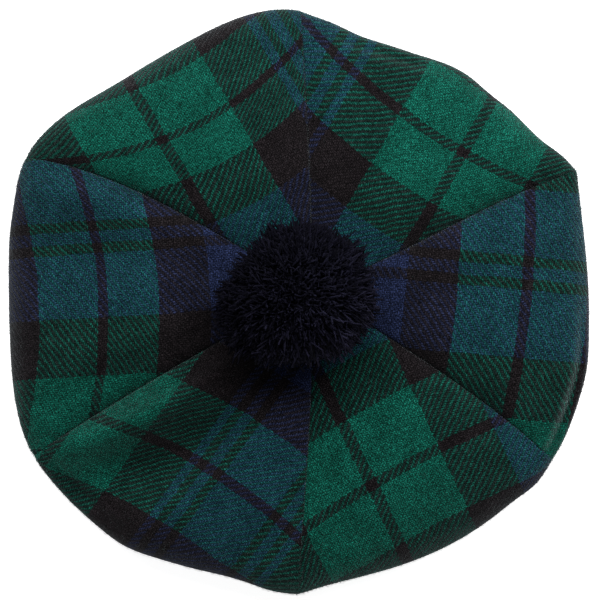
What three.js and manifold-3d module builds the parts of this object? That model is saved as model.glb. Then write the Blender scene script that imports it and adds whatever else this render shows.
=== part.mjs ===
// A tam o'shanter: six wedges of tartan cloth, a folded headband and a wool pompom.
// The cap stands on its headband, with the flat crown drooping softly around it.
// Millimetres, +Z up, the origin on the surface under the middle of the cap.
// Bearings are degrees anticlockwise from +X, seen from above.
import * as THREE from 'three';
import { mergeVertices } from 'three/addons/utils/BufferGeometryUtils.js';
import Module from 'manifold-3d';

// Driving dimensions
const CLOTH = 2.0; // brushed woollen twill with its nap
const SEAM_GAP = 0.3; // between one piece and the next
const BAND_INSIDE = 178; // across the headband, for a head of 56 cm
const BAND_THICK = 3; // the band's cloth is folded double
const BAND_TALL = 32;
const CROWN_CENTRE = new THREE.Vector2(6.5, 5.3); // the crown hangs over unevenly from its band
const TIP = 2.5; // the wedges' points end this far from the crown's centre
const POMPOM_CENTRE = new THREE.Vector3(-0.7, 0, 81); // it flops off the crown's centre
const POMPOM_REACH = 35.5;
const POMPOM_HALF_TALL = 31;
const POMPOM_BASE = 56.3; // it is pressed flat where it lies on the crown
const COLORS = { tartan: 0x1d3f3f, band: 0x1b2a33, yarn: 0x0d0e1c };

// Mesh counts
const ACROSS = 10; // cells across a wedge
const BAND_SIDES = 60;
const LOCKS = 50;
const LOCK_SIDES = 5;
const BALL_SIDES = 20;

// The six seams, clockwise from the top: bearing near the centre, halfway and at the rim,
// how far the corner reaches from the crown's centre, and how deep the seam lies in its valley.
const SEAMS = [
  { centre: 90, halfway: 91.4, rim: 92.3, reach: 134.0, valley: 0.9 },
  { centre: 19, halfway: 24.4, rim: 24.0, reach: 139.7, valley: 1.0 },
  { centre: -32, halfway: -32.6, rim: -35.3, reach: 142.3, valley: 0.9 },
  { centre: -88, halfway: -91.4, rim: -92.5, reach: 145.6, valley: 1.0 },
  { centre: -151, halfway: -150.4, rim: -149.2, reach: 156.4, valley: 1.5 },
  { centre: -209, halfway: -210.0, rim: -204.8, reach: 152.2, valley: 1.0 },
];

// The wedges, clockwise: the rim's distance from the crown's centre at a quarter, half and
// three quarters of the way across, and how much lower than the others its rim hangs.
const GORES = [
  { quarter: 123.5, half: 127.1, threeQuarters: 129.1, droop: 0.0 },
  { quarter: 133.2, half: 134.1, threeQuarters: 138.2, droop: 1.5 },
  { quarter: 140.5, half: 140.0, threeQuarters: 140.2, droop: 2.0 },
  { quarter: 143.8, half: 149.6, threeQuarters: 154.8, droop: 3.5 },
  { quarter: 150.6, half: 146.1, threeQuarters: 148.6, droop: 3.0 },
  { quarter: 141.7, half: 133.8, threeQuarters: 134.8, droop: 1.0 },
];

// The line down the middle of a wedge, from the crown's centre to the band. out is the share of
// the way to the rim, back the share from there in to the band, high the cloth's height, valley
// how far a seam lies below it, and rows the mesh rows up to the next station.
const STATIONS = [
  { name: 'centre', out: 0.0, back: 0, high: 56.0, valley: 0.0, rows: 2 },
  { name: 'under the pompom', out: 0.16, back: 0, high: 56.0, valley: 0.4, rows: 3 },
  { name: 'round the pompom', out: 0.34, back: 0, high: 55.4, valley: 3.2, rows: 3 },
  { name: 'halfway', out: 0.54, back: 0, high: 53.2, valley: 5.4, rows: 3 },
  { name: 'slope', out: 0.74, back: 0, high: 48.6, valley: 6.6, rows: 3 },
  { name: 'above the rim', out: 0.9, back: 0, high: 41.6, valley: 5.4, rows: 3 },
  { name: 'turn', out: 0.975, back: 0, high: 34.0, valley: 2.4, rows: 2 },
  { name: 'rim', out: 1.0, back: 0, high: 25.5, valley: 0.0, rows: 2 },
  { name: 'under the rim', out: 1.0, back: 0.1, high: 15.6, valley: -1.6, rows: 2 },
  { name: 'underside', out: 1.0, back: 0.38, high: 12.0, valley: -2.6, rows: 2 },
  { name: 'rise', out: 1.0, back: 0.72, high: 18.0, valley: -1.6, rows: 2 },
  { name: 'band', out: 1.0, back: 1.0, high: 25.0, valley: 0.0, rows: 0 },
];

// Creases and swellings of the cloth: where across the wedge and how far out each lies, half its
// width across, half its length outwards, and how far the cloth rises there.
const FOLDS = [
  { gore: 3, across: 0.9, wide: 0.07, out: 0.72, long: 0.3, rise: 3.4 }, // ridge beside the deep seam
  { gore: 3, across: 0.72, wide: 0.09, out: 0.84, long: 0.14, rise: -2.6 }, // hollow behind that ridge
  { gore: 4, across: 0.12, wide: 0.08, out: 0.62, long: 0.3, rise: -2.0 }, // shadowed side of the deep seam
  { gore: 1, across: 0.72, wide: 0.24, out: 0.955, long: 0.02, rise: -3.0 }, // crease along the rim
  { gore: 0, across: 0.3, wide: 0.16, out: 0.955, long: 0.02, rise: -2.6 }, // crease along the rim
  { gore: 3, across: 0.82, wide: 0.16, out: 0.955, long: 0.02, rise: -2.6 }, // crease along the rim
  { gore: 0, across: 0.55, wide: 0.2, out: 0.7, long: 0.16, rise: -1.4 }, // slack in the cloth
  { gore: 4, across: 0.55, wide: 0.22, out: 0.75, long: 0.2, rise: 1.6 }, // the fullest wedge
  { gore: 5, across: 0.5, wide: 0.25, out: 0.75, long: 0.2, rise: 1.2 },
];

const VALLEY_SHARPNESS = 3.2; // 2 would be a round valley, more keeps the wedge flat to its edge
const NUDGE = 1e-3; // step for slopes

const lerp = (a, b, t) => a + (b - a) * t;
const bell = (distance, width) => Math.exp(-((distance / width) ** 2));

// The smooth curve through evenly spaced values, read at t from 0 to 1.
function curveThrough(values, t) {
  const last = values.length - 1;
  let sum = 0;
  for (let k = 0; k <= last; k += 1) {
    let weight = 1;
    for (let m = 0; m <= last; m += 1) {
      if (m !== k) weight *= (t * last - m) / (k - m);
    }
    sum += weight * values[k];
  }
  return sum;
}

// A column of the station table, read smoothly at place s, which counts stations.
function along(column, s) {
  const last = STATIONS.length - 1;
  const i = Math.min(Math.floor(s), last - 1);
  const t = s - i;
  const at = (k) => STATIONS[Math.min(Math.max(k, 0), last)][column];
  const [a, b, c, d] = [at(i - 1), at(i), at(i + 1), at(i + 2)];
  return b + 0.5 * t * (c - a + t * (2 * a - 5 * b + 4 * c - d + t * (3 * (b - c) + d - a)));
}

function seamBearing(seam, out) {
  return curveThrough([seam.centre, seam.halfway, seam.rim], out);
}

// The bearing across wedge g at share f, clockwise from its first seam.
function bearingAt(g, f, out) {
  const first = seamBearing(SEAMS[g], out);
  const next = SEAMS[(g + 1) % SEAMS.length];
  const turn = g + 1 === SEAMS.length ? 360 : 0;
  return THREE.MathUtils.degToRad(lerp(first, seamBearing(next, out) - turn, f));
}

function rimReach(g, f) {
  const { quarter, half, threeQuarters } = GORES[g];
  const corners = [SEAMS[g].reach, SEAMS[(g + 1) % SEAMS.length].reach];
  return curveThrough([corners[0], quarter, half, threeQuarters, corners[1]], f);
}

// Height of the outer skin of wedge g, at share f across and station place s.
function heightAt(g, f, s) {
  const out = along('out', s);
  const back = along('back', s);
  const edge = Math.abs(2 * f - 1) ** VALLEY_SHARPNESS;
  const depth = lerp(SEAMS[g].valley, SEAMS[(g + 1) % SEAMS.length].valley, f);
  const hang = Math.sin(Math.PI * f) * GORES[g].droop * out ** 4 * (1 - back) ** 2;
  let high = along('high', s) - along('valley', s) * edge * depth - hang;
  for (const fold of FOLDS) {
    if (fold.gore === g && s <= STATIONS.length - 4) {
      high += fold.rise * bell(f - fold.across, fold.wide) * bell(out - fold.out, fold.long);
    }
  }
  return high;
}

// A point of the outer skin. The centre that bearings are taken from moves from the crown's
// centre to the band's as the cloth turns back underneath.
function skinPoint(g, f, s) {
  const out = along('out', s);
  const back = along('back', s);
  const bandReach = BAND_INSIDE / 2 + BAND_THICK + SEAM_GAP;
  const reach = lerp(out * rimReach(g, f), bandReach, back) + (s < 1 ? TIP * (1 - s) : 0);
  const bearing = bearingAt(g, f, Math.min(out, 1));
  return new THREE.Vector3(
    CROWN_CENTRE.x * (1 - back) + reach * Math.cos(bearing),
    CROWN_CENTRE.y * (1 - back) + reach * Math.sin(bearing),
    heightAt(g, f, s),
  );
}

// The direction across wedge g there, level and clockwise.
function sideways(g, f, s) {
  const bearing = bearingAt(g, f, Math.min(along('out', s), 1));
  return new THREE.Vector3(Math.sin(bearing), -Math.cos(bearing), 0);
}

// Places along the wedge where the mesh has a row.
function rowPlaces() {
  const places = [];
  STATIONS.forEach((station, i) => {
    for (let k = 0; k < station.rows; k += 1) places.push(i + k / station.rows);
  });
  places.push(STATIONS.length - 1);
  return places;
}

// Two skins of points, one cell grid each, closed along their four edges.
function shellGeometry(outer, inner, columns, rows) {
  const points = [...outer, ...inner];
  const index = [];
  const quad = (a, b, c, d) => index.push(a, b, c, a, c, d);
  const at = (i, j) => j * (columns + 1) + i;
  const under = outer.length;
  for (let j = 0; j < rows; j += 1) {
    for (let i = 0; i < columns; i += 1) {
      quad(at(i, j), at(i + 1, j), at(i + 1, j + 1), at(i, j + 1));
      quad(under + at(i, j), under + at(i, j + 1), under + at(i + 1, j + 1), under + at(i + 1, j));
    }
    quad(at(0, j), at(0, j + 1), under + at(0, j + 1), under + at(0, j));
    quad(at(columns, j + 1), at(columns, j), under + at(columns, j), under + at(columns, j + 1));
  }
  for (let i = 0; i < columns; i += 1) {
    quad(at(i + 1, 0), at(i, 0), under + at(i, 0), under + at(i + 1, 0));
    quad(at(i, rows), at(i + 1, rows), under + at(i + 1, rows), under + at(i, rows));
  }
  const geometry = new THREE.BufferGeometry();
  geometry.setFromPoints(points);
  geometry.setIndex(index);
  return geometry;
}

// One wedge of cloth. Its inner skin lies a cloth's thickness in from the outer one, and both
// stop half a gap short of the seams.
function goreGeometry(g) {
  const places = rowPlaces();
  const outer = [];
  const inner = [];
  for (const s of places) {
    for (let i = 0; i <= ACROSS; i += 1) {
      const f = i / ACROSS;
      const point = skinPoint(g, f, s);
      const before = skinPoint(g, f, Math.max(s - NUDGE, 0));
      const after = skinPoint(g, f, Math.min(s + NUDGE, STATIONS.length - 1));
      const side = sideways(g, f, s);
      const normal = side.clone().cross(after.sub(before)).normalize();
      const trim = i === 0 ? SEAM_GAP / 2 : i === ACROSS ? -SEAM_GAP / 2 : 0;
      point.addScaledVector(side, trim);
      outer.push(point);
      inner.push(point.clone().addScaledVector(normal, -CLOTH));
    }
  }
  return shellGeometry(outer, inner, ACROSS, places.length - 1);
}

// The headband: a plain upright ring.
function headbandGeometry() {
  const inside = BAND_INSIDE / 2;
  const corners = [
    [inside, 0],
    [inside + BAND_THICK, 0],
    [inside + BAND_THICK, BAND_TALL],
    [inside, BAND_TALL],
    [inside, 0],
  ];
  const profile = corners.map(([reach, high]) => new THREE.Vector2(reach, high));
  return new THREE.LatheGeometry(profile, BAND_SIDES).rotateX(Math.PI / 2);
}

// How far the pompom reaches at a bearing in radians: round, with two broad lobes and three
// small ones, as the cut yarn was trimmed.
function pompomReach(bearing) {
  const twoLobes = 2.5 * Math.cos(2 * (bearing - THREE.MathUtils.degToRad(25)));
  const threeLobes = 1.9 * Math.cos(3 * (bearing + THREE.MathUtils.degToRad(31)));
  return POMPOM_REACH + twoLobes + threeLobes;
}

// The point of the pompom's outer form in a direction from its centre.
function pompomPoint(direction, share) {
  const reach = pompomReach(Math.atan2(direction.y, direction.x));
  const scale = new THREE.Vector3(reach, reach, POMPOM_HALF_TALL);
  return direction.clone().multiply(scale).multiplyScalar(share).add(POMPOM_CENTRE);
}

// A lock of yarn: a blunt tapered tuft from inside the ball to the outer form.
function lockGeometry(direction, share) {
  const root = pompomPoint(direction, 0.45);
  const tip = pompomPoint(direction, share);
  const lock = new THREE.CylinderGeometry(5.4, 4.6, root.distanceTo(tip), LOCK_SIDES);
  const along = tip.clone().sub(root).normalize();
  lock.applyQuaternion(new THREE.Quaternion().setFromUnitVectors(new THREE.Vector3(0, 1, 0), along));
  const middle = root.add(tip).multiplyScalar(0.5);
  return lock.translate(middle.x, middle.y, middle.z);
}

const wasm = await Module();
wasm.setup();

function toSolid(geometry) {
  const bare = geometry.clone();
  bare.deleteAttribute('normal');
  bare.deleteAttribute('uv');
  const merged = mergeVertices(bare, 1e-4);
  const vertProperties = new Float32Array(merged.attributes.position.array);
  const triVerts = new Uint32Array(merged.index.array);
  return new wasm.Manifold(new wasm.Mesh({ numProp: 3, vertProperties, triVerts }));
}

function toGeometry(solid) {
  const mesh = solid.getMesh();
  const geometry = new THREE.BufferGeometry();
  geometry.setAttribute('position', new THREE.BufferAttribute(mesh.vertProperties, 3));
  geometry.setIndex(new THREE.BufferAttribute(mesh.triVerts, 1));
  return geometry;
}

// The pompom: a ball with its locks fused on, cut flat where it lies on the crown.
function toorieGeometry() {
  const ball = new THREE.SphereGeometry(1, BALL_SIDES, BALL_SIDES / 2);
  const at = ball.attributes.position;
  for (let i = 0; i < at.count; i += 1) {
    const direction = new THREE.Vector3().fromBufferAttribute(at, i).normalize();
    const point = pompomPoint(direction, 0.9);
    at.setXYZ(i, point.x, point.y, point.z);
  }
  let solid = toSolid(ball);
  const goldenTurn = Math.PI * (3 - Math.sqrt(5));
  for (let k = 0; k < LOCKS; k += 1) {
    const up = 1 - (1.65 * (k + 0.5)) / LOCKS;
    const level = Math.sqrt(1 - up * up);
    const turn = goldenTurn * k;
    const direction = new THREE.Vector3(level * Math.cos(turn), level * Math.sin(turn), up);
    const share = 0.985 + 0.025 * Math.sin(3.7 * k);
    solid = solid.add(toSolid(lockGeometry(direction, share)));
  }
  const below = new THREE.BoxGeometry(120, 120, 40).translate(0, 0, POMPOM_BASE - 20);
  return toGeometry(solid.subtract(toSolid(below)));
}

function piece(name, geometry, color, roughness) {
  const material = new THREE.MeshStandardMaterial({ color, roughness, metalness: 0 });
  const mesh = new THREE.Mesh(geometry, material);
  mesh.name = name;
  return mesh;
}

const tam = new THREE.Group();
GORES.forEach((row, g) => {
  tam.add(piece(`gore_${g + 1}`, goreGeometry(g), COLORS.tartan, 0.92));
});
tam.add(piece('headband', headbandGeometry(), COLORS.band, 0.92));
tam.add(piece('toorie', toorieGeometry(), COLORS.yarn, 0.95));

// The middle of the whole cap stands over the origin.
const middle = new THREE.Box3().setFromObject(tam).getCenter(new THREE.Vector3());
tam.position.set(-middle.x, -middle.y, 0);

export default tam;
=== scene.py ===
"""A tam o'shanter: six wedges of brushed tartan twill, a folded headband and a navy wool pompom.

The cap stands on its headband on a pale floor and is seen from straight above. Tables are in
millimetres and degrees, bearings anticlockwise from +X; meshes are in metres.
"""
import bpy
import numpy as np
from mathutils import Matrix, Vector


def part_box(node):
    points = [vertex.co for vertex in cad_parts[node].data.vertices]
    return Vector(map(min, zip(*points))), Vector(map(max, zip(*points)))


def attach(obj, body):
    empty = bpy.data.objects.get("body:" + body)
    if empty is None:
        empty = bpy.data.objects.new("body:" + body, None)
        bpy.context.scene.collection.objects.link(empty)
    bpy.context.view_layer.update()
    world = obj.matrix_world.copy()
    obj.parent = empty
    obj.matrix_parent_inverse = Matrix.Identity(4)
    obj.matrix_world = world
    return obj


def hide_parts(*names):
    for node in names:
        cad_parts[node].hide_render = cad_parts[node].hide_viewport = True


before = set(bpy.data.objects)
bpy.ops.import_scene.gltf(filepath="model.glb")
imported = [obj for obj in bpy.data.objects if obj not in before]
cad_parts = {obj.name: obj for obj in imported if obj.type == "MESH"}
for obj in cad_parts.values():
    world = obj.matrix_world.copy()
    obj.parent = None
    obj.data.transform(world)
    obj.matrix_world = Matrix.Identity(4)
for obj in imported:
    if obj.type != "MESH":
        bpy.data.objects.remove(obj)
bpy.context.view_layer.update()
MM = 0.001


# The camera
# It looks straight down on the middle of the crown from a metre and a half, with a long lens.
# The picture is as wide as the photo's, which shows the crown with a narrow white border.
CAMERA_HIGH = 1500
VIEW_ACROSS = 288.6  # what the picture's width takes in at the height of the rim
RIM_HIGH = 26
VIEW_SHIFT = (0.7, 0.5)  # the crown lies a little off the picture's middle

lens = bpy.data.cameras.new("camera")
lens.sensor_width = 36
lens.lens = lens.sensor_width * (CAMERA_HIGH - RIM_HIGH) / VIEW_ACROSS
lens.clip_end = 50
camera = bpy.data.objects.new("camera", lens)
camera.location = (VIEW_SHIFT[0] * MM, VIEW_SHIFT[1] * MM, CAMERA_HIGH * MM)
bpy.context.scene.collection.objects.link(camera)
bpy.context.scene.camera = camera


# The headband
# A strip of the same cloth, folded lengthways along its lower edge and closed to a ring that goes
# round the head. Its two raw upper edges are sewn to the crown inside.
BAND_INSIDE = 178
BAND_THICK = 3
BAND_TALL = 32
BAND_CLOTH = 1.35
BAND_COLUMNS = 240
BAND_CORNER_STEPS = 8
BAND_WALL_STEP = 3  # its straight walls are cut into lengths of this, so that they can wave
BAND_WAVE = 2.2  # halfway up they wave in and out by up to a quarter of this
BAND_FIRST_THREAD = 20  # the thread at its lower edge
THREAD_ACROSS = 0.96  # one thread of the stripes that run outwards
THREAD_OUT = 0.84  # one thread of the stripes that run round

band_low, band_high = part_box("headband")
band_middle = 0.5 * (np.array(band_low[:2]) + np.array(band_high[:2])) / MM
CROWN_CENTRE = np.array([6.5, 5.3]) + band_middle  # the soft crown has slid a little off the band


def arc(centre, radius, start, stop, steps):
    """Points on a circle about centre, from bearing start to stop in degrees."""
    turn = np.radians(np.linspace(start, stop, steps))
    return np.stack([centre[0] + radius * np.cos(turn), centre[1] + radius * np.sin(turn)], -1)


def add_object(name, points, faces, uv):
    """A smooth mesh object at the origin. points is in millimetres, faces a list of index arrays
    with three or four columns, and uv gives each point's place in the UV map."""
    mesh = bpy.data.meshes.new(name)
    corners = np.concatenate([f.ravel() for f in faces])
    totals = np.concatenate([np.full(len(f), f.shape[1]) for f in faces])
    starts = np.concatenate([[0], np.cumsum(totals)[:-1]])
    mesh.vertices.add(len(points))
    mesh.vertices.foreach_set("co", (points * MM).astype(np.float32).ravel())
    mesh.loops.add(len(corners))
    mesh.loops.foreach_set("vertex_index", corners.astype(np.int32))
    mesh.polygons.add(len(totals))
    mesh.polygons.foreach_set("loop_start", starts.astype(np.int32))
    mesh.polygons.foreach_set("loop_total", totals.astype(np.int32))
    mesh.polygons.foreach_set("use_smooth", np.full(len(totals), True))
    mesh.update(calc_edges=True)
    layer = mesh.uv_layers.new(name="threads")
    layer.data.foreach_set("uv", uv[corners].astype(np.float32).ravel())
    mesh.validate()
    made = bpy.data.objects.new(name, mesh)
    bpy.context.scene.collection.objects.link(made)
    return made


class Value:
    """A node's output socket. Python's operators on it add Math nodes."""

    def __init__(self, socket):
        self.socket = socket
        self.tree = socket.id_data

    def node(self, kind, settings=None, sockets=None, output=0):
        """A new node of a kind in the same tree, with its settings set first, then the values or
        links of its sockets. Returns one of its outputs."""
        made = self.tree.nodes.new(kind)
        for name, value in (settings or {}).items():
            if name == "stops":
                ramp = made.color_ramp.elements
                while len(ramp) < len(value):
                    ramp.new(1.0)
                for element, (place, color) in zip(ramp, value):
                    element.position = place
                    element.color = (*color, 1)
            elif name == "interpolation":
                made.color_ramp.interpolation = value
            else:
                setattr(made, name, value)
        for name, value in (sockets or {}).items():
            if isinstance(value, Value):
                self.tree.links.new(value.socket, made.inputs[name])
            else:
                made.inputs[name].default_value = value
        return Value(made.outputs[output])

    def math(self, operation, *values):
        return self.node("ShaderNodeMath", {"operation": operation}, dict(enumerate(values)))

    def __add__(self, other):
        return self.math("ADD", self, other)

    __radd__ = __add__

    def __sub__(self, other):
        return self.math("SUBTRACT", self, other)

    def __rsub__(self, other):
        return self.math("SUBTRACT", other, self)

    def __mul__(self, other):
        return self.math("MULTIPLY", self, other)

    __rmul__ = __mul__

    def __mod__(self, other):
        return self.math("FLOORED_MODULO", self, other)

    def __lt__(self, other):
        return self.math("LESS_THAN", self, other)

    def floor(self):
        return self.math("FLOOR", self)

    def between(self, low, high, start=0.0, stop=1.0):
        """Goes smoothly from start at low to stop at high."""
        sockets = {"Value": self, "From Min": low, "From Max": high, "To Min": start, "To Max": stop}
        return self.node("ShaderNodeMapRange", {"interpolation_type": "SMOOTHSTEP"}, sockets)

    def axis(self, name):
        """The X, Y or Z of a vector."""
        return self.node("ShaderNodeSeparateXYZ", {}, {"Vector": self}, name)

    def noise(self, scale, detail):
        """Noise at a place, with a scale in cells to the metre."""
        return self.node("ShaderNodeTexNoise", {}, {"Vector": self, "Scale": scale, "Detail": detail})

    def mixed(self, first, second):
        """The colour first where self is 0, and second where it is 1."""
        return self.blended("MIX", self, first, second)

    def blended(self, how, share, first, second):
        """The colour first, with a share of second mixed into it in a way that Blender names. The
        Mix node's sockets share their names, so they are told apart by their numbers."""
        settings = {"data_type": "RGBA", "blend_type": how}
        return self.node("ShaderNodeMix", settings, {0: share, 6: first, 7: second}, 2)


def new_material(name, coordinates):
    """An empty node material, and its first Value: the UV map or the Object coordinates."""
    material = bpy.data.materials.new(name)
    material.use_nodes = True
    tree = material.node_tree
    tree.nodes.clear()
    source = tree.nodes.new("ShaderNodeTexCoord")
    return material, Value(source.outputs[coordinates])


def finish_material(first, surface):
    """Links a shader to the output of the material that first belongs to."""
    output = first.tree.nodes.new("ShaderNodeOutputMaterial")
    first.tree.links.new(surface.socket, output.inputs["Surface"])


# The yarns' colours, as linear reflectances.
NAVY = (0.0120, 0.0175, 0.0480)
GREEN = (0.0034, 0.0670, 0.0468)
BLACK = (0.0092, 0.0074, 0.0084)
NAP_COVER = 0.3  # how much of a light yarn a dark one's fibres hide
FIBRE_BLEND = 0.1  # how much of the yarn underneath shows through the one on top
MINGLED = 0.12  # how much more where both are coloured
POMPOM_SHADE_REACH = (40, 66)  # millimetres from the crown's centre between which the painted shade round the pompom fades out
POMPOM_SHADE_TONE = 0.76  # how light the painted shade round the pompom leaves the cloth
FIBRE_SCALE = 1500.0  # cells to the metre: single fibres,
WANDER_SCALE = 420.0  # the threads' crookedness,
CLOUD_SCALE = 70.0  # and broad patches where the weave has slipped and the nap is fuller
# Half of the tartan's repeat, from the middle of one blue stripe to the middle of the next:
# each stripe's width in threads and its yarn. The other half is its mirror image.
SETT = [
    (3, NAVY), (5, BLACK), (32, NAVY), (28, BLACK), (36, GREEN), (6, BLACK), (36, GREEN),
    (28, BLACK), (5, NAVY), (5, BLACK), (6, NAVY), (5, BLACK), (19, NAVY),
]
HALF_SETT = sum(width for width, _ in SETT)
GREEN_LINE = sum(width for width, _ in SETT[:5]) + 3  # the thread at the green's black line


def hump(share):
    """A round rise from 0 to 1 and back as share goes from 0 to 1: four times x times 1 - x."""
    return share * (1.0 - share) * 4.0


def stripe_color(thread):
    """The yarn of a thread, counted from the middle of a blue stripe, as a ramp with hard steps
    read at the thread's own middle, folded back at each end of the half repeat."""
    folded = thread.math("PINGPONG", thread + 0.5, float(HALF_SETT))
    starts = np.cumsum([0] + [width for width, _ in SETT[:-1]])
    stops = [(start / HALF_SETT, color) for start, (_, color) in zip(starts, SETT)]
    settings = {"interpolation": "CONSTANT", "stops": stops}
    return folded.node("ShaderNodeValToRGB", settings, {"Fac": folded * (1 / HALF_SETT)})


def tartan_material(name):
    """Two-and-two twill. The UV map counts threads: U those that run outwards, V those that run
    round. An outward thread lies on top at two of every four crossings, a step further on with
    each thread round, so that its colour and the other's show in diagonal lines."""
    material, uv = new_material(name, "UV")
    place = uv.node("ShaderNodeTexCoord", output="Object")
    fibre = place.noise(FIBRE_SCALE, 4.0)
    wander = place.noise(WANDER_SCALE, 2.0)
    cloud = place.noise(CLOUD_SCALE, 3.0)
    shift = (wander - 0.5) * 1.3 + (fibre - 0.5) * 0.6
    u = uv.axis("X") + (cloud - 0.5) * 2.2 + shift
    v = uv.axis("Y") - (cloud - 0.5) * 2.2 + shift
    column = u.floor()
    row = v.floor()
    outward_on_top = (column - row) % 4.0 < 1.5
    # Each float is round across and dips at both ends, where it goes under its neighbours.
    outward = hump(u % 1.0) * (hump((column + 1.0 - v) % 4.0 * 0.5) * 0.7 + 0.3)
    around = hump(v % 1.0) * (hump((u - row - 2.0) % 4.0 * 0.5) * 0.7 + 0.3)
    height = around + outward_on_top * (outward - around)
    # A dark yarn's fibres show on a light one's more than the other way round.
    top = outward_on_top.mixed(stripe_color(row), stripe_color(column))
    under = outward_on_top.mixed(stripe_color(column), stripe_color(row))
    color = uv.blended("DARKEN", NAP_COVER, top, under)
    # Blue and green fibres mingle more than the black ones do with either.
    blues = [yarn.node("ShaderNodeSeparateColor", {}, {"Color": yarn}, "Blue") for yarn in (top, under)]
    coloured = uv.math("MINIMUM", *blues).between(0.01, 0.04)
    color = uv.blended("MIX", coloured * MINGLED + FIBRE_BLEND, color, under)
    crossing = uv.node("ShaderNodeCombineXYZ", {}, {"X": column, "Y": row})
    speck = uv.node("ShaderNodeTexWhiteNoise", {"noise_dimensions": "2D"}, {"Vector": crossing})
    # Painted shade: floats are lighter in their middles and darker at their ends, where they dip
    #     # under their neighbours. Fibres, crossings and patches differ a little in tone.
    tone = (height * 1.3 + 0.12) * fibre.between(0.3, 0.7, 0.35, 1.75) * (speck * 0.7 + 0.65)
    tone = tone * cloud.between(0.3, 0.7, 0.85, 1.15)
    # Painted shade: the cloth is darkened in a ring round the pompom, where its shadow falls.
    x = place.axis("X") * (1 / MM) - CROWN_CENTRE[0]
    y = place.axis("Y") * (1 / MM) - CROWN_CENTRE[1]
    tone = tone * (x * x + y * y).between(POMPOM_SHADE_REACH[0] ** 2, POMPOM_SHADE_REACH[1] ** 2, POMPOM_SHADE_TONE, 1.0)
    shade = uv.node("ShaderNodeCombineColor", {}, {"Red": tone, "Green": tone, "Blue": tone})
    color = uv.blended("MULTIPLY", 1.0, color, shade)
    bump = uv.node("ShaderNodeBump", {}, {
        "Strength": 0.7, "Distance": 0.0004, "Height": height * 0.8 + fibre * 0.9})
    surface = uv.node("ShaderNodeBsdfPrincipled", {}, {
        "Base Color": color, "Roughness": 1.0, "Normal": bump, "Specular IOR Level": 0.05,
        "Sheen Weight": 0.16, "Sheen Roughness": 0.3, "Sheen Tint": (0.8, 0.9, 0.95, 1)})
    finish_material(uv, surface)
    return material


def headband_mesh():
    """A ring swept from a narrow U: two walls of cloth joined by a round fold at the foot, with
    their upper edges rounded off and a hair's breadth between them. Its reach is the profile's,
    plus waves round the ring that are strongest halfway up."""
    inside = BAND_INSIDE / 2
    middle = inside + BAND_THICK / 2
    half, cloth = BAND_THICK / 2, BAND_CLOTH
    lip = cloth / 2
    top = BAND_TALL - lip
    n = BAND_CORNER_STEPS
    profile = np.concatenate([
        arc((middle, half), half, -180, 0, 2 * n),
        arc((middle + half - lip, top), lip, 0, 180, n),
        arc((middle, half), half - cloth, 0, -180, n),
        arc((middle - half + lip, top), lip, 0, 180, n),
    ])
    rises = np.linalg.norm(np.diff(profile, axis=0, append=profile[:1]), axis=1)
    pieces = [np.linspace(a, b, max(int(r // BAND_WALL_STEP), 1), endpoint=False)
              for a, b, r in zip(profile, np.roll(profile, -1, axis=0), rises)]
    profile = np.concatenate(pieces)
    turn = np.linspace(0, 2 * np.pi, BAND_COLUMNS, endpoint=False)
    reach, high = profile[:, 0][None], profile[:, 1][None]
    wave = 0.5 * np.sin(3 * turn + 0.7) + 0.35 * np.sin(7 * turn) * np.sin(2 * turn + 1)
    reach = reach + wave[:, None] * (high / BAND_TALL) * (1 - high / BAND_TALL) * BAND_WAVE
    x = band_middle[0] + reach * np.cos(turn)[:, None]
    y = band_middle[1] + reach * np.sin(turn)[:, None]
    points = np.stack([x, y, np.broadcast_to(high, x.shape)], -1).reshape(-1, 3)
    count = profile.shape[0]
    i, j = np.meshgrid(np.arange(BAND_COLUMNS), np.arange(count), indexing="ij")
    following, above = (i + 1) % BAND_COLUMNS, (j + 1) % count
    faces = np.stack([i * count + j, following * count + j, following * count + above,
                      i * count + above], -1).reshape(-1, 4)
    run = np.concatenate([[0], np.cumsum(np.linalg.norm(np.diff(profile, axis=0), axis=1))])
    across, out = (turn * middle / THREAD_ACROSS)[:, None], (run / THREAD_OUT)[None] + BAND_FIRST_THREAD
    threads = np.stack(np.broadcast_arrays(across, out), -1).reshape(-1, 2)
    return points, faces, threads


tartan = tartan_material("tartan_twill")
points, faces, threads = headband_mesh()
headband = add_object("headband_folded", points, [faces], threads)
headband.data.materials.append(tartan)
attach(headband, "root")
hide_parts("headband")


# The wedges
# Each is one piece of brushed woollen twill, cut as a long leaf: its point lies under the pompom,
# it is widest at the rim, and it narrows again underneath to the band. They are sewn side to side
# from the wrong side, which draws the seams down into valleys between full, soft cloth.
CLOTH = 2.0
TIP = 2.5
SEAM_HALF_GAP = -0.04  # the edges press into each other
BAND_GAP = 0.3  # between the cloth underneath and the headband
COLUMNS = 110
EDGE_CROWDING = 0.78  # how much the columns crowd towards the seams
ROW_STEP = 1.15
EDGE_ROLL = 1.0  # the cloth turns down into the seam round this radius
BANK_DEEP = 2.8  # before that it falls away towards the seam, more steeply nearer to it
BANK_WIDE = 8.0
CORNER_ROUND = 0.9  # how much of each corner of the rim is rounded off
CORNER_WIDE = 6  # within how far of the corner
RIM_ACROSS = 140  # a wedge's width at the rim, about
PUCKER = 0.28  # the stitches draw the cloth up beside the seams in puckers this high
PUCKER_RUN = 1.55  # 2 pi of these from one pucker to the next
SLACK = 0.5  # the height of the cloth's faint slack waves

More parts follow.
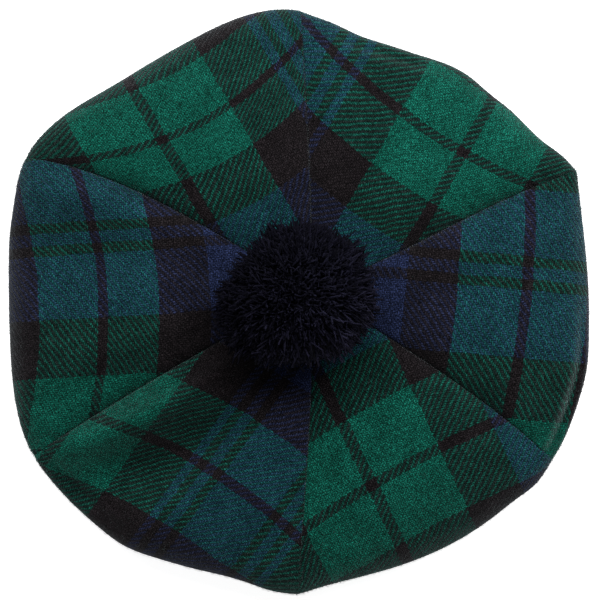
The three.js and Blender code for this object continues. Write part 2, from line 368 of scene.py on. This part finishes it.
# Clockwise from the top: bearing near the centre, halfway and at the rim, how far the corner
# reaches from the crown's centre, how deep the seam lies in its valley, and how steep its banks are.
SEAMS = [
    dict(centre=90, halfway=91.4, rim=92.3, reach=134.0, valley=0.9, bank=0.5),
    dict(centre=19, halfway=24.4, rim=24.0, reach=139.7, valley=1.0, bank=1.7),
    dict(centre=-32, halfway=-32.6, rim=-35.3, reach=142.3, valley=0.9, bank=1.0),
    dict(centre=-88, halfway=-91.4, rim=-92.5, reach=145.6, valley=0.7, bank=0.3),
    dict(centre=-151, halfway=-150.4, rim=-149.2, reach=156.4, valley=1.5, bank=1.0),
    dict(centre=-209, halfway=-210.0, rim=-204.8, reach=152.2, valley=1.0, bank=1.1),
]
# Clockwise: how far the rim is from the crown's centre at a quarter, half and three quarters of
# the way across, how much lower than the others the rim hangs, and how wide, how long and how
# large (in square centimetres) the piece of cloth is when it lies flat.
GORES = [
    dict(quarter=123.5, half=127.1, three_quarters=129.1, droop=0.0, wide=156, long=188, area=185),
    dict(quarter=133.2, half=134.1, three_quarters=138.2, droop=1.5, wide=143, long=201, area=182),
    dict(quarter=140.5, half=140.0, three_quarters=140.2, droop=6.0, wide=143, long=206, area=185),
    dict(quarter=143.8, half=149.6, three_quarters=154.8, droop=3.5, wide=153, long=218, area=216),
    dict(quarter=150.6, half=146.1, three_quarters=148.6, droop=3.0, wide=147, long=212, area=205),
    dict(quarter=141.7, half=133.8, three_quarters=134.8, droop=1.0, wide=154, long=196, area=190),
]
# Where the rim strays from a smooth curve: the bearing, half the width in degrees and how far out.
RIM_TRIM = [
    dict(bearing=86, wide=6, out=2.6), dict(bearing=66, wide=7, out=-1.4),
    dict(bearing=48, wide=5, out=-1.2), dict(bearing=28, wide=4, out=1.8),
    dict(bearing=-16, wide=6, out=0.9), dict(bearing=-41, wide=4, out=1.7),
    dict(bearing=-97, wide=6.5, out=3.0), dict(bearing=-126, wide=5, out=1.2),
    dict(bearing=163, wide=6, out=-1.4), dict(bearing=135, wide=8, out=-1.1),
]
# The line down the middle of a wedge: out is the share of the way from the crown's centre to the
# rim, back the share from there in to the band, high the cloth's height, and valley how far a
# seam lies below it.
STATIONS = [
    dict(name="centre", out=0.0, back=0, high=56.0, valley=0.0),
    dict(name="under the pompom", out=0.16, back=0, high=56.0, valley=0.4),
    dict(name="round the pompom", out=0.34, back=0, high=55.4, valley=3.2),
    dict(name="halfway", out=0.54, back=0, high=53.2, valley=5.4),
    dict(name="slope", out=0.74, back=0, high=48.6, valley=6.6),
    dict(name="above the rim", out=0.9, back=0, high=41.6, valley=5.4),
    dict(name="turn", out=0.975, back=0, high=34.0, valley=2.4),
    dict(name="rim", out=1.0, back=0, high=25.5, valley=0.0),
    dict(name="under the rim", out=1.0, back=0.1, high=15.6, valley=-1.6),
    dict(name="underside", out=1.0, back=0.38, high=12.0, valley=-2.6),
    dict(name="rise", out=1.0, back=0.72, high=18.0, valley=-1.6),
    dict(name="band", out=1.0, back=1.0, high=25.0, valley=0.0),
]
LAST = len(STATIONS) - 1
ABOVE_RIM = 5
# Creases and swellings: the wedge, where across it and how far out each lies, half its width
# across, half its length outwards, how far the cloth rises there, and how far the place across
# moves from the centre to the rim.
FOLDS = [
    dict(gore=3, across=0.89, wide=0.07, out=0.7, long=0.34, rise=7.5, lean=0.3),
    dict(gore=3, across=0.69, wide=0.17, out=0.75, long=0.33, rise=-16.0, lean=0.6),
    dict(gore=4, across=0.12, wide=0.08, out=0.62, long=0.3, rise=-2.0, lean=0),
    dict(gore=1, across=0.88, wide=0.17, out=0.93, long=0.02, rise=1.4, lean=0),
    dict(gore=1, across=0.8, wide=0.24, out=0.968, long=0.018, rise=-4.0, lean=0),
    dict(gore=0, across=0.3, wide=0.16, out=0.955, long=0.02, rise=-2.6, lean=0),
    dict(gore=3, across=0.82, wide=0.16, out=0.955, long=0.02, rise=-2.6, lean=0),
    dict(gore=0, across=0.55, wide=0.2, out=0.7, long=0.16, rise=-1.4, lean=0),
    dict(gore=4, across=0.9, wide=0.08, out=0.75, long=0.3, rise=4.4, lean=0),
    dict(gore=4, across=0.66, wide=0.12, out=0.75, long=0.3, rise=-4.8, lean=0),
    dict(gore=5, across=0.5, wide=0.25, out=0.75, long=0.2, rise=1.2, lean=0),
]
VALLEY_SHARPNESS = 3.2
# How the tartan lies on each wedge: the bearing that its stripes follow; the thread that lies at
# mark millimetres clockwise of that line, how wide a thread is there and how far the stripes lean
# clockwise in a hundred outwards; the distances at which the green stripe round the crown begins,
# has its black line and ends; and how far that line slants and bows outwards at 50 to each side.
TARTAN = [
    dict(bearing=57, thread=-107, mark=24.5, width=0.90, lean=-5, inner=64.2, line=93.0, outer=125.6,
         slant=-1.6, bow=5.0),
    dict(bearing=-5, thread=0, mark=-16.6, width=1.01, lean=0, inner=67.4, line=101.4, outer=135.1,
         slant=-1.0, bow=-2.4),
    dict(bearing=-64, thread=107, mark=15.2, width=0.96, lean=1, inner=60.9, line=94.7, outer=126.8,
         slant=2.7, bow=2.9),
    dict(bearing=-120, thread=-146, mark=34.1, width=0.83, lean=10, inner=65.7, line=98.0, outer=132.0,
         slant=-1.0, bow=5.3),
    dict(bearing=180, thread=0, mark=25.4, width=0.96, lean=-6, inner=71.7, line=99.1, outer=130.4,
         slant=3.8, bow=6.7),
    dict(bearing=122.5, thread=107, mark=-21.8, width=0.93, lean=4, inner=72.6, line=94.5, outer=122.2,
         slant=-3.4, bow=8.6),
]
SETT_GREEN_STARTS = 68  # the threads between which the half repeat is green
SETT_GREEN_ENDS = 146
THREADS_BEYOND = 200  # as many as the cloth past the green ever holds
LEAN_CENTRE = 96  # the distance out at which the marks are measured
RIM_TURN = ABOVE_RIM + 0.6  # the station past which the cloth turns under


def lerp(a, b, t):
    """The value a share t of the way from a to b."""
    return a + (b - a) * t


def bell(distance, width):
    """1 at no distance, falling off as e to the minus square of distance over width."""
    return np.exp(-((distance / width) ** 2))


def curve_through(values, t):
    """Lagrange's curve through evenly spaced values, read at t from 0 to 1."""
    last = len(values) - 1
    total = 0
    for k, value in enumerate(values):
        weight = np.ones_like(t)
        for m in range(last + 1):
            if m != k:
                weight = weight * (t * last - m) / (k - m)
        total = total + weight * value
    return total


def along(column, s):
    """A column of the station table, read at place s by a Catmull-Rom curve."""
    values = np.array([station[column] for station in STATIONS], float)
    i = np.clip(np.floor(s).astype(int), 0, LAST - 1)
    t = s - i
    a, b = values[np.maximum(i - 1, 0)], values[i]
    c, d = values[i + 1], values[np.minimum(i + 2, LAST)]
    return b + 0.5 * t * (c - a + t * (2 * a - 5 * b + 4 * c - d + t * (3 * (b - c) + d - a)))


def seam_bearing(seam, out):
    """A seam's bearing in degrees at a share of the way out: a curve through its three bearings."""
    return curve_through([seam["centre"], seam["halfway"], seam["rim"]], out)


def bearing_at(g, f, out):
    """The bearing, in radians, at share f across wedge g, clockwise from its first seam."""
    following = SEAMS[(g + 1) % len(SEAMS)]
    turn = 360 if g + 1 == len(SEAMS) else 0
    out = np.minimum(out, 1)
    first, second = seam_bearing(SEAMS[g], out), seam_bearing(following, out) - turn
    return np.radians(lerp(first, second, f))


def rim_reach(g, f):
    """How far out the rim lies at share f across wedge g: a curve through its two corners and the
    wedge's three distances, with the trims as bells on their bearings."""
    row = GORES[g]
    first, last = SEAMS[g]["reach"], SEAMS[(g + 1) % len(SEAMS)]["reach"]
    reach = curve_through([first, row["quarter"], row["half"], row["three_quarters"], last], f)
    bearing = np.degrees(bearing_at(g, f, 1.0))
    for trim in RIM_TRIM:
        turn = (bearing - trim["bearing"] + 180) % 360 - 180
        reach = reach + trim["out"] * bell(turn, trim["wide"])
    return reach


def level_place(g, f, s):
    """Where a point of the cloth lies seen from above, and its distance from the moving centre
    that bearings are taken from: the crown's centre on top, the band's underneath."""
    out, back = along("out", s), along("back", s)
    band_reach = BAND_INSIDE / 2 + BAND_THICK + BAND_GAP
    near_corner = np.exp(-np.minimum(f, 1 - f) * RIM_ACROSS / CORNER_WIDE) * np.clip(out * 6 - 5, 0, 1)
    reach = lerp(out * rim_reach(g, f) - CORNER_ROUND * near_corner, band_reach, back)
    reach = reach + np.where(s < 1, TIP * (1 - s), 0)
    bearing = bearing_at(g, f, out)
    x = lerp(CROWN_CENTRE[0], band_middle[0], back) + reach * np.cos(bearing)
    y = lerp(CROWN_CENTRE[1], band_middle[1], back) + reach * np.sin(bearing)
    return x, y, reach, bearing


def cloth_height(g, f, s, reach):
    """The outer skin's height: the station's, less the seams' valleys and banks and the rim's
    droop, with the folds as bells, and the sines of the slack waves and of the seams' puckers."""
    out, back = along("out", s), along("back", s)
    depth = lerp(SEAMS[g]["valley"], SEAMS[(g + 1) % len(SEAMS)]["valley"], f)
    hang = np.sin(np.pi * f) * GORES[g]["droop"] * out**4 * (1 - back) ** 2
    from_seam = np.minimum(f, 1 - f) * reach * np.pi / 3
    steep = lerp(SEAMS[g]["bank"], SEAMS[(g + 1) % len(SEAMS)]["bank"], f)
    bank = BANK_DEEP * steep * np.exp(-from_seam / BANK_WIDE * 2)
    bank = bank * np.clip((ABOVE_RIM + 1 - s) / 2, 0, 1)
    hang = hang + bank * np.clip(out * 4 - 0.8, 0, 1)
    high = along("high", s) - along("valley", s) * np.abs(2 * f - 1) ** VALLEY_SHARPNESS * depth - hang
    on_top = s <= LAST - 3
    for fold in FOLDS:
        if fold["gore"] == g:
            across = f - fold["across"] - fold["lean"] * (out - fold["out"])
            nearness = bell(across, fold["wide"]) * bell(out - fold["out"], fold["long"])
            high = high + np.where(on_top, fold["rise"] * nearness, 0)
    # The numbers in the sines only set the waves of one wedge and seam apart from the next.
    side = np.where(f < 0.5, 0.0, 1.7)
    run = reach + 60 * back
    pucker = PUCKER * np.sin(run / PUCKER_RUN + side + 1.1 * np.sin(run / 7 + g))
    pucker = pucker * bell(from_seam - 4, 4.5)
    slack = SLACK * np.sin(run / 9 + 2.3 * g + 4 * f) * np.sin(np.pi * f) * np.sin(9 * f + run / 23 + g)
    fade = np.clip(out * 2 - 0.5, 0, 1)
    return high + (pucker + slack) * fade


def row_places():
    """Places along the wedge that lie about a row's step apart on the cloth, which is measured
    along a wedge of middling size in many short steps."""
    s = np.linspace(0, LAST, 2400)
    middling_rim = 142
    reach = lerp(along("out", s) * middling_rim, BAND_INSIDE / 2 + BAND_THICK, along("back", s))
    length = np.concatenate([[0], np.cumsum(np.hypot(np.diff(reach), np.diff(along("high", s))))])
    rows = int(length[-1] / ROW_STEP)
    return np.interp(np.linspace(0, length[-1], rows), length, s)


def gore_skin(g, f, s):
    """Points of the outer skin on the grid f by s, their outward normals, and the threads' UV.
    The normal is the cross product of the level sideways direction and the slope outwards."""
    f, s = np.meshgrid(f, s, indexing="ij")
    x, y, reach, bearing = level_place(g, f, s)
    z = cloth_height(g, f, s, reach)
    side = np.stack([np.sin(bearing), -np.cos(bearing), np.zeros_like(x)], -1)
    points = np.stack([x, y, z], -1)
    outwards = np.gradient(points, axis=1)
    normal = np.cross(side, outwards)
    normal /= np.linalg.norm(normal, axis=-1, keepdims=True)
    # The edges turn down into the seam on a quarter circle.
    from_edge = np.minimum(f, 1 - f) * np.abs(bearing[-1:] - bearing[:1]) * reach
    turn_in = np.clip(1 - from_edge / EDGE_ROLL, 0, 1)
    roll = EDGE_ROLL * np.clip(1.3 - s / (ABOVE_RIM + 1), 0.1, 1)
    points = points - normal * (roll * (1 - np.sqrt(1 - turn_in**2)))[..., None]
    trim = np.where(f == 0, SEAM_HALF_GAP, 0) - np.where(f == 1, SEAM_HALF_GAP, 0)
    points = points + side * trim[..., None]
    return points, normal, gore_threads(g, s, points, reach, bearing)


def gore_threads(g, s, points, reach, bearing):
    """Which threads lie at each point: on top by its place seen from above, and past the turn of
    the rim by the length of cloth from there. Across is the distance clockwise of the line that
    the stripes follow, less their lean, and outwards is less the slant and bow at that distance."""
    row = TARTAN[g]
    angle = np.radians(row["bearing"]) - bearing
    angle = (angle + np.pi) % (2 * np.pi) - np.pi
    step = np.linalg.norm(np.diff(points, axis=1), axis=-1)
    level = np.diff(reach, axis=1)
    past = s[:, 1:] > RIM_TURN
    run = np.cumsum(np.where(past, step, level), axis=1)
    run = np.concatenate([np.zeros_like(run[:, :1]), run], axis=1) + reach[:, :1]
    across = reach * np.sin(angle)
    outwards = run - reach * (1 - np.cos(angle))
    across = across - row["lean"] * (outwards - LEAN_CENTRE) / 100
    side = across / 50
    outwards = outwards - row["slant"] * side - row["bow"] * side**2
    marks = [row["inner"] - SETT_GREEN_STARTS * THREAD_OUT, row["inner"], row["line"], row["outer"],
             row["outer"] + THREADS_BEYOND * THREAD_OUT]
    counts = [0, SETT_GREEN_STARTS, GREEN_LINE, SETT_GREEN_ENDS, SETT_GREEN_ENDS + THREADS_BEYOND]
    u = row["thread"] + (across - row["mark"]) / row["width"]
    return np.stack([u, np.interp(outwards, marks, counts)], -1)


def grid_faces(columns, rows, start=0, flip=False):
    """Quads of a grid whose points are numbered along its rows within each column."""
    i, j = np.meshgrid(np.arange(columns - 1), np.arange(rows - 1), indexing="ij")
    a = start + i * rows + j
    quads = [a, a + rows, a + rows + 1, a + 1]
    return np.stack(quads[::-1] if flip else quads, -1).reshape(-1, 4)


def gore_mesh(g, columns, places):
    """The outer skin, the inner one a cloth's thickness in, and strips that close the edges."""
    points, normal, threads = gore_skin(g, columns, places)
    n, m = points.shape[:2]
    inner = points - normal * CLOTH
    ring = np.concatenate([
        np.arange(m - 1), (m - 1) + np.arange(n - 1) * m,
        (n - 1) * m + np.arange(m - 1, 0, -1), np.arange(n - 1, 0, -1) * m])
    following = np.roll(ring, -1)
    under = n * m
    edge = np.stack([ring, following, under + following, under + ring], -1)
    faces = [grid_faces(n, m), grid_faces(n, m, under, flip=True), edge]
    both = np.concatenate([points.reshape(-1, 3), inner.reshape(-1, 3)])
    return both, faces, np.concatenate([threads.reshape(-1, 2)] * 2)


shares = np.linspace(0, 1, COLUMNS)
shares = shares - EDGE_CROWDING * np.sin(2 * np.pi * shares) / (2 * np.pi)
shares[0] = 0
shares[-1] = 1
places = row_places()
for g, row in enumerate(GORES):
    points, faces, threads = gore_mesh(g, shares, places)
    gore = add_object(f"gore_{g + 1}_cloth", points, faces, threads)
    gore.data.materials.append(tartan)
    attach(gore, "root")
    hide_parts(f"gore_{g + 1}")


# The nap
# The cloth was milled and brushed, which raised a thin pile of loose wool fibres. They lie every
# way over the weave and stand out along the seams and the fold of the rim, where they catch light.
FIBRES = 3200  # on each wedge
FIBRE_LONG = 2.0
FIBRE_THICK = 0.055
FIBRE_RINGS = ((0.0, 1.0), (0.5, 0.8))  # shares of the length and of the thickness, up to its point
# Where they are thickest on the ground: the station, how far to each side, and how many more.
NAP_CROWDS = [dict(station=6.2, wide=1.4, more=2.4), dict(station=7, wide=0.5, more=5)]
NAP_PALE = 0.07  # how much paler than the threads
NAP_CLEAR = 0.3  # how much of the light they let through


def unit(vectors):
    """The vectors, each divided by its length."""
    return vectors / np.linalg.norm(vectors, axis=-1, keepdims=True)


def fibre_roots(g, random):
    """Places on a wedge's outer skin, thick on the ground at the rim and the seams: points of its
    grid, each moved a random share of the way to the next one across and outwards."""
    points, normal, threads = gore_skin(g, shares, places)
    n, m = points.shape[:2]
    middle = np.abs(2 * shares[:-1, None] - 1)
    reach = lerp(along("out", places), 0.65, along("back", places))
    crowding = 0.3
    for crowd in NAP_CROWDS:
        crowding = crowding + bell(places[None, :-1] - crowd["station"], crowd["wide"]) * crowd["more"]
    weight = (0.3 + middle**6) * reach[None, :-1] * crowding * np.gradient(shares)[:-1, None]
    chosen = random.choice((n - 1) * (m - 1), FIBRES, p=(weight / weight.sum()).ravel())
    i, j = np.unravel_index(chosen, (n - 1, m - 1))
    a, b = random.uniform(0, 1, (2, FIBRES, 1))
    return [lerp(lerp(grid[i, j], grid[i + 1, j], a), lerp(grid[i, j + 1], grid[i + 1, j + 1], a), b)
            for grid in (points, normal, threads)]


def nap_mesh(random):
    """Fine three-sided spikes that leave the cloth at a slant and bend over: two rings of three
    points round a straight root, then a point moved sideways and down towards the cloth."""
    roots = [fibre_roots(g, random) for g in range(len(GORES))]
    root, normal, threads = (np.concatenate(kind) for kind in zip(*roots))
    count = len(root)
    astray = unit(np.cross(normal, random.normal(0, 1, (count, 3))))
    bend = unit(np.cross(normal, random.normal(0, 1, (count, 3))))
    long = FIBRE_LONG * random.uniform(0.5, 1.5, (count, 1))
    rise = random.uniform(0.1, 0.75, (count, 1))
    heading = unit(astray + normal * rise)
    tip = root + heading * long + (bend - normal * rise) * long * 0.3
    shares_along = np.array([share for share, _ in FIBRE_RINGS])
    path = root[:, None] - normal[:, None] * 0.1 + heading[:, None] * (long * shares_along)[..., None]
    turn = np.arange(3) * 2 * np.pi / 3
    other = np.cross(heading, bend)
    level = np.cross(other, heading)
    ring = level[:, None] * np.cos(turn)[:, None] + other[:, None] * np.sin(turn)[:, None]
    radii = FIBRE_THICK * np.array([thick for _, thick in FIBRE_RINGS])
    tube = path[:, :, None] + ring[:, None] * radii[:, None, None]
    points = np.concatenate([tube.reshape(count, -1, 3), tip[:, None]], axis=1)
    rings = len(FIBRE_RINGS)
    each = 3 * rings + 1
    base = (np.arange(count) * each)[:, None, None]
    i, k = np.meshgrid(np.arange(rings - 1), np.arange(3), indexing="ij")
    a, b = i * 3 + k, i * 3 + (k + 1) % 3
    quads = np.stack([a, b, b + 3, a + 3], -1).reshape(-1, 4)
    last = 3 * (rings - 1) + np.arange(3)
    ends = np.stack([last, 3 * (rings - 1) + (np.arange(3) + 1) % 3, np.full(3, each - 1)], -1)
    ends = np.concatenate([ends, [[2, 1, 0]]])
    faces = [(base + quads).reshape(-1, 4), (base + ends).reshape(-1, 3)]
    return points.reshape(-1, 3), faces, np.repeat(threads, each, axis=0)


def nap_material(name):
    """Loose fibres in the mixed colour of the two threads they stand on, paler partly for being thin
    and partly as painted haze of light where they crowd at the rim and seams, and letting some light
    through."""
    material, uv = new_material(name, "UV")
    column, row = uv.axis("X").floor(), uv.axis("Y").floor()
    color = uv.blended("MIX", 0.5, stripe_color(column), stripe_color(row))
    # Painted haze: the fibres are paled towards grey, partly for being thin, partly as light caught at
    # the rim.
    color = uv.blended("MIX", NAP_PALE, color, (0.5, 0.55, 0.6, 1))
    solid = uv.node("ShaderNodeBsdfPrincipled", {}, {
        "Base Color": color, "Roughness": 0.8, "Specular IOR Level": 0.2})
    glow = uv.node("ShaderNodeBsdfTranslucent", {}, {"Color": (0.35, 0.5, 0.48, 1)})
    surface = uv.node("ShaderNodeMixShader", {}, {0: NAP_CLEAR, 1: solid, 2: glow})
    finish_material(uv, surface)
    return material


points, faces, threads = nap_mesh(np.random.default_rng(3))
nap = add_object("gore_nap", points, faces, threads)
nap.data.materials.append(nap_material("tartan_nap"))
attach(nap, "root")


# The toorie
# Navy wool yarn, wound, bound at its middle and cut, so that its ends stand out all round. It is
# sewn to the crown where the wedges' points meet, and has slumped a little to one side.
POMPOM_CENTRE = np.array([0.3, 2.0, 81.0])
POMPOM_CENTRE[:2] += band_middle
POMPOM_REACH = 35.5
POMPOM_HALF_TALL = 31
POMPOM_BASE = 56.3
POMPOM_CORE = 0.7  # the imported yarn's share of the outer form
LOBES = [dict(count=2, bearing=25, out=2.5), dict(count=3, bearing=-31, out=1.9)]
STRANDS = 13200
STRAND_SIDES = 3
STRAND_RINGS = (0, 0.62, 1.0)  # shares of a strand's length
STRAND_RADII = (0.3, 0.42, 0.46)  # it blooms towards its cut end
LOCKS = 190
LOWEST = -0.86  # how far down strands grow, as the sine of the tilt
CURL = 3.0  # how far a strand's end strays sideways
YARN_SCALE = 1800.0  # the yarn's fibres: noise cells to the metre
DEEP_NAVY = (0.0010, 0.0010, 0.0024, 1)
PALE_NAVY = (0.0260, 0.0250, 0.0520, 1)
# Where the strands have been combed over sideways, and where they part.
COMBED = dict(bearing=-62, up=0.35, wide=0.75)
PARTING = dict(bearing=-22, up=0.72, wide=0.16)
TUFT = dict(bearing=-163, up=0.05, wide=0.11)  # sticks out sideways


def pompom_reach(bearing):
    """Round, with two broad lobes and three small ones, as the yarn was trimmed: a cosine for each
    kind is added to the middling reach."""
    reach = POMPOM_REACH
    for lobe in LOBES:
        reach = reach + lobe["out"] * np.cos(lobe["count"] * (bearing - np.radians(lobe["bearing"])))
    return reach


def pompom_form(direction):
    """The outer form's distance from the centre along each unit direction: an ellipsoid whose
    level reach follows the trimmed outline."""
    reach = pompom_reach(np.arctan2(direction[..., 1], direction[..., 0]))
    return np.stack([direction[..., 0] * reach, direction[..., 1] * reach,
                     direction[..., 2] * POMPOM_HALF_TALL], -1)


def spread_directions(count, lowest):
    """Unit directions spread evenly by the golden turn, from straight up down to lowest."""
    k = np.arange(count)
    up = 1 - (1 - lowest) * (k + 0.5) / count
    turn = np.pi * (3 - np.sqrt(5)) * k
    level = np.sqrt(1 - up**2)
    return np.stack([level * np.cos(turn), level * np.sin(turn), up], -1)


def spot(place):
    """The unit direction of a place on the pompom from its bearing and how far up it is."""
    level = np.sqrt(1 - place["up"] ** 2)
    turn = np.radians(place["bearing"])
    return np.array([level * np.cos(turn), level * np.sin(turn), place["up"]])


def strand_paths(random):
    """The strands' middles, a row of points for each, from inside the ball to its outer form.
    Each leans towards the middle of its lock and away from the parting, and where they have been
    combed its root lies further up, so that it is seen along its length. Also returns each strand's
    painted sheen, which makes the strands lighter towards the combed side."""
    direction = unit(spread_directions(STRANDS, LOWEST) + random.normal(0, 0.05, (STRANDS, 3)))
    locks = unit(spread_directions(LOCKS, LOWEST) + random.normal(0, 0.07, (LOCKS, 3)))
    nearest = np.argmax(direction @ locks.T, axis=1)
    lean = (locks[nearest] - direction) * random.uniform(0.1, 0.6, STRANDS)[:, None]
    apart = direction - spot(PARTING)
    lean = lean + apart * bell(np.linalg.norm(apart, axis=1), PARTING["wide"])[:, None] * 0.7
    share = random.uniform(0.84, 0.94, STRANDS) * random.normal(1, 0.03, LOCKS)[nearest]
    combed = bell(np.linalg.norm(direction - spot(COMBED), axis=1), COMBED["wide"])[:, None]
    tuft = bell(np.linalg.norm(direction - spot(TUFT), axis=1), TUFT["wide"])
    share = share * (1 + tuft * random.uniform(0, 0.22, STRANDS))
    tip = pompom_form(unit(direction + lean - combed * np.array([0, 0, 0.12]))) * share[:, None]
    root = pompom_form(unit(direction + combed * np.array([-0.15, 0.3, 0.75]))) * (0.55 + 0.3 * combed)
    sway, curl = random.normal(0, 1, (2, STRANDS, 1, 3)) * CURL
    t = np.array(STRAND_RINGS)[None, :, None]
    path = lerp(root[:, None], tip[:, None], t) + sway * np.sin(np.pi * t) * 0.6
    path = path + curl * t**3 * 0.7 + POMPOM_CENTRE
    # Strands that would pass through the crown lie flat on it.
    crown = POMPOM_BASE + 0.5
    path[..., 2] = crown + np.logaddexp(0, (path[..., 2] - crown) / 1.5) * 1.5
    # Painted sheen: the second value lightens the strands towards the combed side.
    return path, 0.3 + 0.8 * bell(np.linalg.norm(direction - spot(COMBED), axis=1), 1.2)


def strand_mesh(random):
    """Cut ends of yarn: three-sided tubes along the strands' paths, closed at both ends. The UV map
    holds each strand's own tone with its painted sheen, lighter towards the combed side, and how far
    along it a point lies."""
    path, light = strand_paths(random)
    rings = len(STRAND_RINGS)
    heading = unit(np.gradient(path, axis=1))
    level = unit(np.cross(heading, unit(random.normal(0, 1, (STRANDS, 1, 3)))))
    other = np.cross(heading, level)
    turn = np.arange(STRAND_SIDES) * 2 * np.pi / STRAND_SIDES
    thick = random.uniform(0.75, 1.15, STRANDS)[:, None] * np.array(STRAND_RADII)
    ring = level[:, :, None] * np.cos(turn)[:, None] + other[:, :, None] * np.sin(turn)[:, None]
    points = path[:, :, None] + ring * thick[..., None, None]
    base = (np.arange(STRANDS) * rings * STRAND_SIDES)[:, None, None]
    i, k = np.meshgrid(np.arange(rings - 1), np.arange(STRAND_SIDES), indexing="ij")
    a, b = i * STRAND_SIDES + k, i * STRAND_SIDES + (k + 1) % STRAND_SIDES
    sides = np.stack([a, b, b + STRAND_SIDES, a + STRAND_SIDES], -1)
    last = (rings - 1) * STRAND_SIDES + np.arange(STRAND_SIDES)
    first = np.arange(STRAND_SIDES)[::-1]
    caps = np.stack([last, first])[None]
    faces = [(base[..., None] + sides[None]).reshape(-1, 4), (base + caps).reshape(-1, 3)]
    # Painted sheen: each strand's random tone is raised towards the combed side.
    tone = random.uniform(0, 1, STRANDS)[:, None, None] * light[:, None, None]
    length = np.array(STRAND_RINGS)[None, :, None]
    uv = np.stack(np.broadcast_arrays(tone, length + 0 * turn), -1).reshape(-1, 2)
    return points.reshape(-1, 3), faces, uv


def ball_mesh(share, columns=48, rows=28):
    """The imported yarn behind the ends: the pompom's form at a share of its size, with its foot
    pressed flat. Its two poles are fans."""
    turn = np.linspace(0, 2 * np.pi, columns, endpoint=False)
    tilt = np.linspace(0, np.pi, rows + 2)[1:-1]
    direction = np.stack([np.sin(tilt) * np.cos(turn)[:, None], np.sin(tilt) * np.sin(turn)[:, None],
                          np.broadcast_to(np.cos(tilt), (columns, rows))], -1)
    poles = np.array([[0, 0, 1.0], [0, 0, -1.0]])
    points = pompom_form(np.concatenate([direction.reshape(-1, 3), poles])) * share + POMPOM_CENTRE
    points[:, 2] = np.maximum(points[:, 2], POMPOM_BASE + 0.2)
    i, j = np.meshgrid(np.arange(columns), np.arange(rows - 1), indexing="ij")
    following = (i + 1) % columns
    quads = [i * rows + j, i * rows + j + 1, following * rows + j + 1, following * rows + j]
    quads = np.stack(quads, -1).reshape(-1, 4)
    i = np.arange(columns)
    following = (i + 1) % columns
    top, foot = np.full(columns, columns * rows), np.full(columns, columns * rows + 1)
    fans = np.concatenate([np.stack([top, i * rows, following * rows], -1),
                           np.stack([foot, (following + 1) * rows - 1, (i + 1) * rows - 1], -1)])
    # Painted shade: with its UV all zeros, the yarn material paints the ball the deepest navy.
    return points, [quads, fans], np.zeros((len(points), 2))


def yarn_material(name):
    """Navy wool: U gives each strand its own tone with its painted sheen, and V runs from its root to
    its cut end, with painted shade that darkens the strand towards its root.
    """
    material, uv = new_material(name, "UV")
    strand = uv.axis("X")
    length = uv.axis("Y")
    fibre = uv.node("ShaderNodeTexCoord", output="Object").noise(YARN_SCALE, 3.0)
    tone = strand * (strand * 0.6 + 0.3) * fibre.between(0.3, 0.7, 0.3, 1.2)
    # Painted shade: each strand darkens towards its root, deep in the pompom where little light
    # reaches.
    tone = tone * length.between(0.5, 0.85, 0.1, 1.0)
    color = tone.mixed(DEEP_NAVY, PALE_NAVY)
    bump = uv.node("ShaderNodeBump", {}, {"Strength": 0.6, "Distance": 0.0003, "Height": fibre})
    surface = uv.node("ShaderNodeBsdfPrincipled", {}, {
        "Base Color": color, "Roughness": 0.9, "Normal": bump, "Specular IOR Level": 0.04})
    finish_material(uv, surface)
    return material


points, faces, uv = strand_mesh(np.random.default_rng(7))
ball_points, ball_faces, ball_uv = ball_mesh(POMPOM_CORE)
faces = faces + [f + len(points) for f in ball_faces]
toorie = add_object("toorie_yarn", np.concatenate([points, ball_points]), faces,
                    np.concatenate([uv, ball_uv]))
toorie.data.materials.append(yarn_material("navy_yarn"))
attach(toorie, "root")
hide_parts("toorie")


# The studio
# A white floor, lit from within like a light table, and soft light: a wide panel beyond the cap's
# far side, which lights the near bank of each valley, a small one at the upper right, and white
# light from all round.
FLOOR_GLOW = 0.86
KEY_POWER = 73
SIDE_POWER = 11
ROOM_LIGHT = 0.21

floor_mesh = bpy.data.meshes.new("floor")
floor_mesh.from_pydata([(-6, -6, 0), (6, -6, 0), (6, 6, 0), (-6, 6, 0)], [], [(0, 1, 2, 3)])
floor = bpy.data.objects.new("floor", floor_mesh)
bpy.context.scene.collection.objects.link(floor)
white, place = new_material("white_floor", "Object")
surface = place.node("ShaderNodeBsdfPrincipled", {}, {
    "Base Color": (0.85, 0.85, 0.85, 1), "Roughness": 1.0, "Specular IOR Level": 0.0,
    "Emission Color": (1, 1, 1, 1), "Emission Strength": FLOOR_GLOW})
finish_material(place, surface)
floor.data.materials.append(white)


def add_panel(name, place, aim, across, power):
    """A light panel, level along its width, that faces the point aim."""
    light = bpy.data.lights.new(name, "AREA")
    light.shape = "RECTANGLE"
    light.size, light.size_y = across
    light.energy = power
    panel = bpy.data.objects.new(name, light)
    panel.location = place
    panel.rotation_mode = "QUATERNION"
    panel.rotation_quaternion = (panel.location - Vector(aim)).to_track_quat("Z", "Y")
    bpy.context.scene.collection.objects.link(panel)


add_panel("key", (0.15, 1.15, 1.8), (0, 0, 0.03), (2.4, 1.2), KEY_POWER)
add_panel("side", (1.3, 1.1, 0.8), (0, 0, 0.03), (1.0, 1.0), SIDE_POWER)
world = bpy.data.worlds.new("white_room")
world.use_nodes = True
world.node_tree.nodes["Background"].inputs["Color"].default_value = (1, 1, 1, 1)
world.node_tree.nodes["Background"].inputs["Strength"].default_value = ROOM_LIGHT
bpy.context.scene.world = world
bpy.context.scene.view_settings.view_transform = "Standard"
